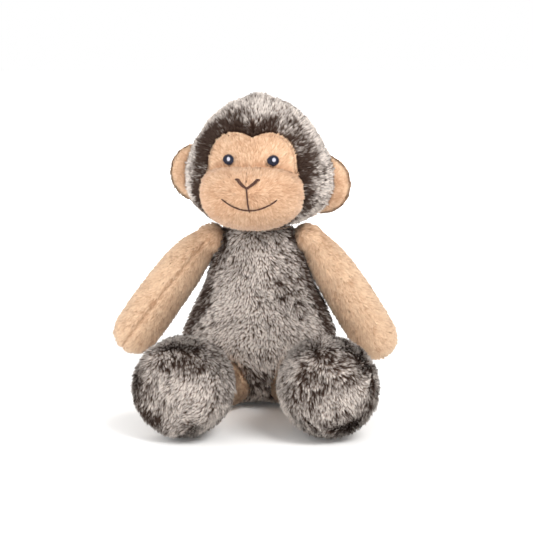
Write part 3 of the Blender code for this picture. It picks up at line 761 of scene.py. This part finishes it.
def head_local(points):
    """Points measured from the neck in the head's own directions: its left, its back and up."""
    offset = points - NECK
    return np.stack([offset @ HEAD_SIDE, offset @ -HEAD_FRONT, offset[:, 2]], 1)


def head_world(rows):
    """Turns rows in the head's own directions into world directions."""
    return rows[:, :1] * HEAD_SIDE - rows[:, 1:2] * HEAD_FRONT + rows[:, 2:3] * np.array([0, 0, 1.0])


def centre_of(node):
    low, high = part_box(node)
    return (np.array(low) + np.array(high)) / 2


def distance_to(nodes):
    """A function from points to their distance from the CAD surfaces of these nodes."""
    tree = tree_of(nodes)

    def distance(points):
        return np.array([tree.find_nearest(point)[3] for point in points])

    return distance


# Shades of pile, where 0 is the dark set of a material and 1 its pale set


def looks_like(count, seed, **given):
    """What every strand of a panel wants, with plain values where nothing is given."""
    plain = {"lean": 1.0, "length": 1.0, "part_strength": 0.0}
    made = {"seed": seed}
    for key, value in {**plain, **given}.items():
        made[key] = np.broadcast_to(np.asarray(value, float), (count,)).copy()
    return made


def near(distance, width, power=2):
    """1 at no distance, falling off smoothly over this width."""
    return np.exp(-((distance / width) ** power))


def squiggles(points, size, seed):
    """Near 1 along thin wandering lines and 0 elsewhere: the places where the pile falls open."""
    bend = np.stack([noise(points, size * 0.8, seed + k) - 0.5 for k in range(3)], 1) * size
    return near(noise(points + bend, size, seed + 5) - 0.5, 0.05)


def frosting(points, seed, base):
    """The shade of frosted plush: pale patches and dark ones, with thin dark lines between tufts."""
    broad = noise(points, 24 * MM, seed) - 0.5
    patch = noise(points, 9 * MM, seed + 1) - 0.5
    lines = squiggles(points, 6.5 * MM, seed + 2) * np.clip(0.8 - 1.2 * broad, 0.15, 1)
    return base + 0.55 * broad + 0.60 * patch - 0.85 * lines


def mottling(points, seed, base):
    """The shade of tan plush: soft patches, with faint lines where the pile falls open."""
    patch = noise(points, 14 * MM, seed) * 0.5 + noise(points, 5 * MM, seed + 1) * 0.5 - 0.5
    return base + 0.45 * patch - 0.50 * squiggles(points, 5.0 * MM, seed + 2)


# The torso

SHOULDER_SOCKET, HIP_SOCKET = 12.5 * MM, 18.5 * MM


def torso_nap(points):
    """Downwards, wandering, and outwards at the sides."""
    down = np.tile([0.0, 0.0, -1.0], (len(points), 1))
    down[:, 0] += 2.2 * (noise(points, 15 * MM, 61) - 0.5) + points[:, 0] * 4
    down[:, 2] += 0.9 * (noise(points, 12 * MM, 66) - 0.5)
    down[:, 1] += 0.25
    return down


def in_sockets(points):
    """Whether each point is in a hollow that an arm or a leg turns in."""
    inside = np.zeros(len(points), bool)
    for side in SIDES:
        for joint, radius in (("arm_raise", SHOULDER_SOCKET), ("hip_lift", HIP_SOCKET)):
            inside |= np.linalg.norm(points - pivot(f"{side}_{joint}"), axis=1) < radius
    return inside


def torso_looks(panel, points, seam, room):
    """Frosted, dark along the side seams where they can be seen, and shorter low down. On the side away from the
    key light the dark reaches further: painted shade.
    """
    shade = frosting(points, 71, 0.78)
    raised = np.clip((points[:, 2] - 24 * MM) / (20 * MM), 0.1, 1)
    sideways = np.clip(np.abs(points[:, 0]) / (30 * MM), 0.3, 1)
    # Painted shade: on the side away from the key light the seam's dark reaches further.
    reach = np.where(points[:, 0] < 0, 12 * MM, 8 * MM)
    shade -= 0.75 * raised * sideways * near(seam, reach)
    shade = np.where(points[:, 2] < 20 * MM, np.maximum(shade, 0.45), shade)
    low = np.clip(points[:, 2] / (12 * MM), 0.7, 1.0)
    length = np.where(in_sockets(points), HIDDEN_LENGTH, 1.0) * low
    return looks_like(len(points), 101, shade=shade, length=length, part_strength=0.45)


# The head. Places are measured from the neck, in the head's own directions

FACE_DISTANCE = distance_to(["face_panel", "muzzle_panel"])
HEAD_FUR_DISTANCE = distance_to(["head_left_panel", "head_right_panel"])
EMBROIDERY_DISTANCE = distance_to(["left_eye", "right_eye", "nose_stitching", "mouth_stitching"])
FACE_CENTRE, MUZZLE_CENTRE = (0.0, -60 * MM, 66 * MM), (0.0, -80 * MM, 66 * MM)
MUZZLE_BACK, CROWN_HEIGHT, NECK_REACH = -56 * MM, 140 * MM, 38 * MM


def head_nap(points):
    """Out from the middle of the face and of the muzzle, and down behind."""
    local = head_local(points)
    out = local - np.array(FACE_CENTRE)
    out[:, 2] -= 30 * MM * np.clip((local[:, 1] + 10 * MM) / (40 * MM), 0, 3)
    muzzle = local[:, 1] < MUZZLE_BACK
    out[muzzle] = (local - np.array(MUZZLE_CENTRE))[muzzle]
    out[:, 0] += 10 * MM * (noise(points, 15 * MM, 62) - 0.5)
    return head_world(out)


def face_looks(panel, points, seam):
    """Tan, with painted shade on the muzzle and in the crease of brow and muzzle, and short around the embroidery.
    """
    # Painted shade: the tan of face and muzzle is set darker than on the arms, the muzzle's darker still.
    base = 0.44 if panel == "face_panel" else 0.28
    # Painted shade in the crease where brow meets muzzle, kept off the border with the head's fur.
    crease_shade_mask = np.clip(HEAD_FUR_DISTANCE(points) / (4 * MM) - 0.5, 0, 1)
    shade = mottling(points, 73, base) - 0.45 * crease_shade_mask * near(seam, 1.8 * MM)
    length = 0.6 + 0.4 * np.clip(EMBROIDERY_DISTANCE(points) / (4 * MM) - 0.4, 0, 1)
    return looks_like(len(points), 131, shade=shade, length=length, part_strength=0.2)


def head_looks(panel, points, seam, room):
    """Frosted, with a dark band around the face and a longer tuft on the crown. On the side away from the key
    light the band is wider: painted shade.
    """
    if panel in ("face_panel", "muzzle_panel"):
        return face_looks(panel, points, seam)
    local = head_local(points)
    mask = FACE_DISTANCE(points)
    # Painted shade: the band is wider on the head's side away from the key light.
    ring = near(mask, np.where(local[:, 0] < 0, 14 * MM, 11 * MM), 3)
    ring *= 0.45 + 1.1 * noise(points, 8 * MM, 75)
    shade = frosting(points, 81, 0.88) - 0.98 * ring
    socket = np.linalg.norm(points - NECK, axis=1) < NECK_REACH
    crown = near(local[:, 2] - CROWN_HEIGHT, 10 * MM) * near(local[:, 0], 7 * MM)
    length = np.where(socket, HIDDEN_LENGTH, 1.0) * (1 + 0.35 * crown)
    lean = 1 - 0.28 * near(mask, 7 * MM) - 0.3 * crown
    parted = 0.8 * near(mask, 5 * MM)
    return looks_like(
        len(points), 121, shade=shade, length=length, lean=lean, parting=6 * MM, part_strength=parted
    )


# Limbs and ears

ANKLE_REACH = 20 * MM


def limb_nap(start, end):
    """Along the limb, wandering a little."""
    way = np.array(end) - np.array(start)

    def nap(points):
        along = np.tile(way / np.linalg.norm(way), (len(points), 1))
        return along + 0.5 * (scatter3(np.floor(points / (6 * MM)), 63) - 0.5)

    return nap


def short_looks(seed, seam_shade=0.3, base=0.80, root=None):
    """Short tan pile. A root is a place where painted shade darkens it, with how far out and how much."""

    def looks(panel, points, seam, room):
        shade = mottling(points, seed, base) - seam_shade * near(seam, 1.8 * MM)
        # Painted shade: darker towards the root, where the part meets the body.
        if root is not None:
            place, reach, strength = root
            shade -= strength * near(np.linalg.norm(points - place, axis=1), reach)
        return looks_like(len(points), seed, shade=shade, part_strength=0.2)

    return looks


def ear_nap(root):
    """Out from the ear's root."""

    def nap(points):
        return points - root

    return nap


def foot_nap(ankle, centre):
    """Down and towards the sole, in swirls."""
    ahead = unit(np.array([centre - ankle]))[0]

    def nap(points):
        swirl = [noise(points, 18 * MM, 64 + k) - 0.5 for k in range(3)]
        return ahead * 0.5 + np.array([0.1, 0.0, -0.6]) + np.stack(swirl, 1) * 2.2

    return nap


def foot_looks(seed, ankle):
    """Frosted, dark along parts of the sole's seam."""

    def looks(panel, points, seam, room):
        rim = np.clip(noise(points, 26 * MM, seed + 2) * 2.6 - 0.75, 0, 1)
        shade = frosting(points, seed, 0.77) - 0.55 * near(seam, 5 * MM) * rim
        socket = np.linalg.norm(points - ankle, axis=1) < ANKLE_REACH
        length = np.where(socket, HIDDEN_LENGTH, 1.0) * (0.25 + 0.75 * room)
        return looks_like(len(points), seed, shade=shade, length=length, part_strength=0.1)

    return looks


# The parts, and the sizes of the balls that arms and legs turn on

SHOULDER_BALL, HIP_BALL = 12.6 * MM, 19.4 * MM
TORSO_MEETING, HEAD_MEETING = 3.6 * MM, 2.6 * MM
EAR_HALF_WIDTH = 12 * MM


def make_torso():
    panels = ["torso_front_panel", "torso_back_left_panel", "torso_back_right_panel"]
    limbs = [f"{side}_arm_{face}_panel" for side in SIDES for face in ("inner", "outer")]
    limbs += [f"{side}_leg_panel" for side in SIDES]
    styles = [TORSO] * 3
    plush(panels, "torso_stuffing", styles, torso_nap, torso_looks, meets=limbs, swell=TORSO_MEETING)


def make_head():
    panels = ["face_panel", "muzzle_panel", "head_left_panel", "head_right_panel"]
    styles = [SHORT, SHORT, FROSTED, FROSTED]
    beside = [f"{side}_ear_{face}_panel" for side in SIDES for face in ("front", "back")]
    beside += [f"{side}_arm_outer_panel" for side in SIDES]
    plush(
        panels,
        "head_stuffing",
        styles,
        head_nap,
        head_looks,
        HEAD_ROUNDS,
        meets=beside,
        swell=HEAD_MEETING,
    )


def make_ear(side, outward, seed):
    panels = [f"{side}_ear_front_panel", f"{side}_ear_back_panel"]
    inner_end = centre_of(panels[0]) - HEAD_SIDE * outward * EAR_HALF_WIDTH
    # Painted shade: the ear darkens towards its inner end, where it meets the head.
    looks = short_looks(seed, seam_shade=0, base=0.92, root=(inner_end, 20 * MM, 0.95))
    nap = ear_nap(pivot(f"{side}_ear_fold") * 0.8 + NECK * 0.2)
    plush(panels, f"{side}_ear_wadding", [EAR] * 2, nap, looks, EAR_ROUNDS)


def make_arm(side, outward, seed):
    panels = [f"{side}_arm_outer_panel", f"{side}_arm_inner_panel"]
    shoulder = pivot(f"{side}_arm_raise")
    hand = centre_of(panels[0]) * 2 - shoulder
    # Painted light and shade: the arms' tan is set paler than the face's, and painted shade darkens it towards the
    # shoulder.
    looks = short_looks(seed, base=0.88, seam_shade=0.7, root=(shoulder, 22 * MM, 0.35))
    ball = (shoulder, SHOULDER_BALL, (-outward, 0, 0.2))
    nap = limb_nap(shoulder, hand)
    plush(panels, f"{side}_arm_stuffing", [SHORT] * 2, nap, looks, LIMB_ROUNDS, ball)


def make_leg(side, seed):
    hip, ankle = pivot(f"{side}_hip_lift"), pivot(f"{side}_ankle_flex")
    ball = (hip, HIP_BALL, (0, 0.8, 0.4))
    nap = limb_nap(hip, ankle)
    looks = short_looks(seed)
    plush([f"{side}_leg_panel"], f"{side}_leg_stuffing", [SHORT], nap, looks, LIMB_ROUNDS, ball)


def make_foot(side, seed):
    panels = [f"{side}_foot_upper_panel", f"{side}_foot_sole_panel"]
    ankle = pivot(f"{side}_ankle_flex")
    nap = foot_nap(ankle, centre_of(panels[1]))
    looks = foot_looks(seed, ankle)
    leg = [f"{side}_leg_panel"]
    plush(panels, f"{side}_foot_stuffing", [FROSTED] * 2, nap, looks, neighbours=leg)


def make_plush():
    make_torso()
    make_head()
    for k, side in enumerate(SIDES):
        outward = 1 - 2 * k
        make_ear(side, outward, 201 + k)
        make_arm(side, outward, 211 + k)
        make_leg(side, 221 + k)
        make_foot(side, 231 + k * 5)


# Embroidery

TUBE_SIDES = 6
THREAD_TAPER = 0.55
EYE_SINK, STITCH_SINK = 1.1 * MM, 0.5 * MM
SATIN_SPACING = 1.55
FACE_TREE = tree_of(["face_panel", "muzzle_panel"])
BEFORE_FACE = -120 * MM


def tube(path, radius, upright):
    """One thread: a closed six-sided tube along a path, drawn in at both ends."""
    along = unit(np.gradient(path, axis=0))
    side = unit(np.cross(along, upright))
    rise = np.cross(side, along)
    k = np.arange(TUBE_SIDES)
    turn = k[None, :, None] * math.tau / TUBE_SIDES
    share = np.linspace(-1, 1, len(path))
    wide = (radius * (1 - THREAD_TAPER * share**4))[:, None, None]
    rings = path[:, None] + wide * (np.cos(turn) * side[:, None] + np.sin(turn) * rise[:, None])
    points = np.concatenate([rings.reshape(-1, 3), path[:1], path[-1:]])
    after = (k + 1) % TUBE_SIDES
    end = (len(path) - 1) * TUBE_SIDES
    first_tip, last_tip = k * 0 + len(points) - 2, k * 0 + len(points) - 1
    faces = [np.stack([first_tip, k, after], 1), np.stack([last_tip, end + after, end + k], 1)]
    for low in range(0, end, TUBE_SIDES):
        high = low + TUBE_SIDES
        faces.append(np.stack([low + k, high + k, low + after], 1))
        faces.append(np.stack([low + after, high + k, high + after], 1))
    return points, np.concatenate(faces)


def embroidered(node, slot, tubes):
    """One piece of many threads, in the place of a CAD node."""
    start, points, faces = 0, [], []
    for tube_points, tube_faces in tubes:
        points.append(tube_points)
        faces.append(tube_faces + start)
        start += len(tube_points)
    mesh = mesh_from(f"{node}_satin", np.concatenate(points), np.concatenate(faces))
    mesh.shade_smooth()
    placed(f"{node}_satin", mesh, node, slot)


def satin_oval(node, slot, scale, lift, radius):
    """Fills the oval that a CAD node covers with upright threads laid side by side."""
    corners = mesh_points(NODES[node].data)
    ahead = np.linalg.svd(corners - corners.mean(0))[2][2]
    ahead *= np.sign(ahead @ HEAD_FRONT)
    centre = (corners.min(0) + corners.max(0)) / 2 - ahead * EYE_SINK
    across = unit(np.cross([(0.0, 0.0, 1.0)], ahead))[0]
    up = np.cross(ahead, across)
    half_wide = np.abs((corners - centre) @ across).max() * scale[0]
    half_high = np.abs((corners - centre) @ up).max() * scale[1]
    share = np.linspace(-1, 1, 7)
    tubes = []
    places = np.arange(-half_wide + radius, half_wide - radius * 0.5, radius * SATIN_SPACING)
    for k, place in enumerate(places):
        edge = (place / half_wide) ** 2
        reach = half_high * math.sqrt(max(0.04, 1 - edge))
        reach *= 0.94 + 0.12 * per_item(len(places), 301)[k]
        dome = np.sqrt(np.clip(1 - edge * 0.8 - share**2 * 0.7, 0.02, 1))
        path = centre + across * place + np.outer(share * reach, up) + np.outer(lift * dome, ahead)
        tubes.append(tube(path, radius, ahead))
    embroidered(node, slot, tubes)


def laid_on_face(rows):
    """Puts rows of sideways and up on the cloth of the face. Returns the points and the normal there."""
    start = np.stack([rows[:, 0], np.full(len(rows), BEFORE_FACE), rows[:, 1]], 1)
    back = Vector(-HEAD_FRONT)
    hits = [FACE_TREE.ray_cast(Vector(place), back) for place in head_world(start) + NECK]
    normal = unit(np.array([hit[1] for hit in hits]).mean(0, keepdims=True))[0]
    return np.array([hit[0] for hit in hits]), normal


def along_line(line, gone, mark):
    """The point of a line at this distance along it, or the end that is nearer."""
    return np.array([np.interp(mark, gone, line[:, i]) for i in range(2)])


def stitched_line(line, step, reach_at, slant, radius, lift):
    """Overlapping slanted stitches along a line on the face. reach_at gives half a stitch's length."""
    sides = np.linalg.norm(np.diff(line, axis=0), axis=1)
    gone = np.concatenate([[0], np.cumsum(sides)])
    marks = np.arange(0, gone[-1], step)
    share = np.linspace(-1, 1, 5)
    tubes = []
    for k, mark in enumerate(marks):
        way = along_line(line, gone, mark + step) - along_line(line, gone, mark - step)
        way /= np.linalg.norm(way)
        angle = slant + 0.12 * (per_item(len(marks), 303)[k] - 0.5)
        cos, sin = math.cos(angle), math.sin(angle)
        turned = np.array([[cos, -sin], [sin, cos]]) @ way
        reach = reach_at(mark / gone[-1]) * (0.92 + 0.16 * per_item(len(marks), 305)[k])
        rows = along_line(line, gone, mark) + np.outer(share * reach, turned)
        path, normal = laid_on_face(rows)
        rise = lift * (1 - 0.5 * share**2) - STITCH_SINK
        tubes.append(tube(path + np.outer(rise, normal), radius, normal))
    return tubes


# Nose and mouth, as sideways and up from the neck

NOSE_TIP, NOSE_WING = (0.0, 68.0 * MM), (9.3 * MM, 75.0 * MM)
NOSE_STEP, NOSE_THREAD, NOSE_SLANT = 0.55 * MM, 0.42 * MM, 0.9
MOUTH_LOW, MOUTH_CORNER, MOUTH_LEAN = 49.0 * MM, (23.0 * MM, 57.5 * MM), 2.2 * MM
MOUTH_STEP, SMILE_THREAD, DROP_THREAD = 0.9 * MM, 0.44 * MM, 0.48 * MM
SMILE_SLANT, DROP_SLANT = 0.30, 0.34
STITCH_LIFT = 0.9 * MM


def nose_reach(share):
    """Half a stitch's length along a wing of the nose, longest at the outer end."""
    return (1.9 - 0.8 * share) * MM


def mouth_reach(share):
    return 1.6 * MM


def make_nose():
    share = np.linspace(-1, 1, 21)
    rise = (NOSE_WING[1] - NOSE_TIP[1]) * np.abs(share) ** 1.25
    wings = np.stack([NOSE_WING[0] * share, NOSE_TIP[1] + rise], 1)
    tubes = []
    for half, slant in ((wings[:11], NOSE_SLANT), (wings[10:][::-1], -NOSE_SLANT)):
        tubes += stitched_line(half, NOSE_STEP, nose_reach, slant, NOSE_THREAD, STITCH_LIFT)
    embroidered("nose_stitching", "brown_thread", tubes)


def make_mouth():
    share = np.linspace(-1, 1, 21)
    curve = (MOUTH_CORNER[1] - MOUTH_LOW) * share**2
    smile = np.stack([MOUTH_CORNER[0] * share + MOUTH_LEAN, MOUTH_LOW + curve], 1)
    fall = np.linspace(0, 1, 8)
    drop = np.stack([MOUTH_LEAN * fall, NOSE_TIP[1] - 0.6 * MM + (MOUTH_LOW - NOSE_TIP[1]) * fall], 1)
    tubes = stitched_line(smile, MOUTH_STEP, mouth_reach, SMILE_SLANT, SMILE_THREAD, STITCH_LIFT)
    tubes += stitched_line(drop, MOUTH_STEP, mouth_reach, DROP_SLANT, DROP_THREAD, STITCH_LIFT)
    embroidered("mouth_stitching", "brown_thread", tubes)


def make_embroidery():
    for side in SIDES:
        satin_oval(f"{side}_eye", "navy_thread", (1.18, 0.98), 0.7 * MM, 0.36 * MM)
        satin_oval(f"{side}_eye_glint", "white_thread", (0.80, 0.84), 0.3 * MM, 0.27 * MM)
    make_nose()
    make_mouth()


# Stage. Each light has a place, a size in metres and a power in watts

LIGHTS = (
    ("key", (0.85, -1.05, 1.35), 0.8, 26),
    ("fill", (-1.3, -0.9, 0.7), 1.4, 15),
    ("back", (-0.2, 1.25, 1.0), 1.6, 20),
)
LIGHTS_AIM = Vector((0, 0, 0.12))
ROOM_LIGHT = 0.65
FLOOR_REACH, FLOOR_COLOUR = 3.0, (0.93, 0.925, 0.915, 1)
GLOW_START, GLOW_END = 0.22, 0.9
FLOOR_GLOW_NEAR, FLOOR_GLOW_FAR = 0.02, 0.9
WHITE = (1, 1, 1, 1)
CAMERA_RISE, CAMERA_FAR, CAMERA_LENS = math.radians(12), 1.58, 118.5
CAMERA_TARGET = Vector((0.0058, 0.0, 0.1228))


def floor_material():
    """Pale and matt, with a glow that fades in around the toy, so that the floor runs out into white."""
    material, tree, shader = node_material("floor")
    shader.inputs["Base Color"].default_value = FLOOR_COLOUR
    shader.inputs["Roughness"].default_value = 0.9
    shader.inputs["Emission Color"].default_value = WHITE
    where = tree.nodes.new("ShaderNodeTexCoord")
    reach = tree.nodes.new("ShaderNodeVectorMath")
    reach.operation = "LENGTH"
    tree.links.new(where.outputs["Object"], reach.inputs[0])
    glow = tree.nodes.new("ShaderNodeMapRange")
    glow.inputs["From Min"].default_value = GLOW_START
    glow.inputs["From Max"].default_value = GLOW_END
    glow.inputs["To Min"].default_value = FLOOR_GLOW_NEAR
    glow.inputs["To Max"].default_value = FLOOR_GLOW_FAR
    tree.links.new(reach.outputs["Value"], glow.inputs["Value"])
    tree.links.new(glow.outputs["Result"], shader.inputs["Emission Strength"])
    return material


def make_floor():
    corners = np.array([[-1, -1, 0], [1, -1, 0], [1, 1, 0], [-1, 1, 0]]) * FLOOR_REACH
    floor = linked("floor", mesh_from("floor", corners, np.array([[0, 1, 2, 3]])))
    floor.data.materials.append(floor_material())


def make_world():
    """White to the eye, and a dimmer even light on everything in it."""
    world = bpy.data.worlds.new("studio")
    world.use_nodes = True
    tree = world.node_tree
    background = tree.nodes["Background"]
    background.inputs["Color"].default_value = WHITE
    path = tree.nodes.new("ShaderNodeLightPath")
    level = tree.nodes.new("ShaderNodeMapRange")
    level.inputs["To Min"].default_value = ROOM_LIGHT
    level.inputs["To Max"].default_value = 1.0
    tree.links.new(path.outputs["Is Camera Ray"], level.inputs["Value"])
    tree.links.new(level.outputs["Result"], background.inputs["Strength"])
    bpy.context.scene.world = world


def make_lights():
    for name, place, size, power in LIGHTS:
        data = bpy.data.lights.new(name, "AREA")
        data.size = size
        data.energy = power
        lamp = bpy.data.objects.new(name, data)
        lamp.location = place
        lamp.rotation_euler = (LIGHTS_AIM - Vector(place)).to_track_quat("-Z", "Y").to_euler()
        bpy.context.scene.collection.objects.link(lamp)


def make_camera():
    data = bpy.data.cameras.new("camera")
    data.sensor_width = 36
    data.lens = CAMERA_LENS
    camera = bpy.data.objects.new("camera", data)
    back = Vector((0, -math.cos(CAMERA_RISE), math.sin(CAMERA_RISE)))
    camera.location = CAMERA_TARGET + back * CAMERA_FAR
    camera.rotation_euler = (math.pi / 2 - CAMERA_RISE, 0, 0)
    bpy.context.scene.collection.objects.link(camera)
    bpy.context.scene.camera = camera


def dress_cad():
    """Gives each CAD node that is still seen the material of its slot."""
    slots = {part["node"]: part["material_slot"] for part in frame["record"]["subparts"]}
    for node, obj in NODES.items():
        if not obj.hide_render:
            obj.data.materials.clear()
            obj.data.materials.append(MATERIALS[slots[node]])


make_plush()
make_embroidery()
dress_cad()
make_floor()
make_world()
make_lights()
make_camera()
bpy.context.scene.view_settings.view_transform = "Standard"
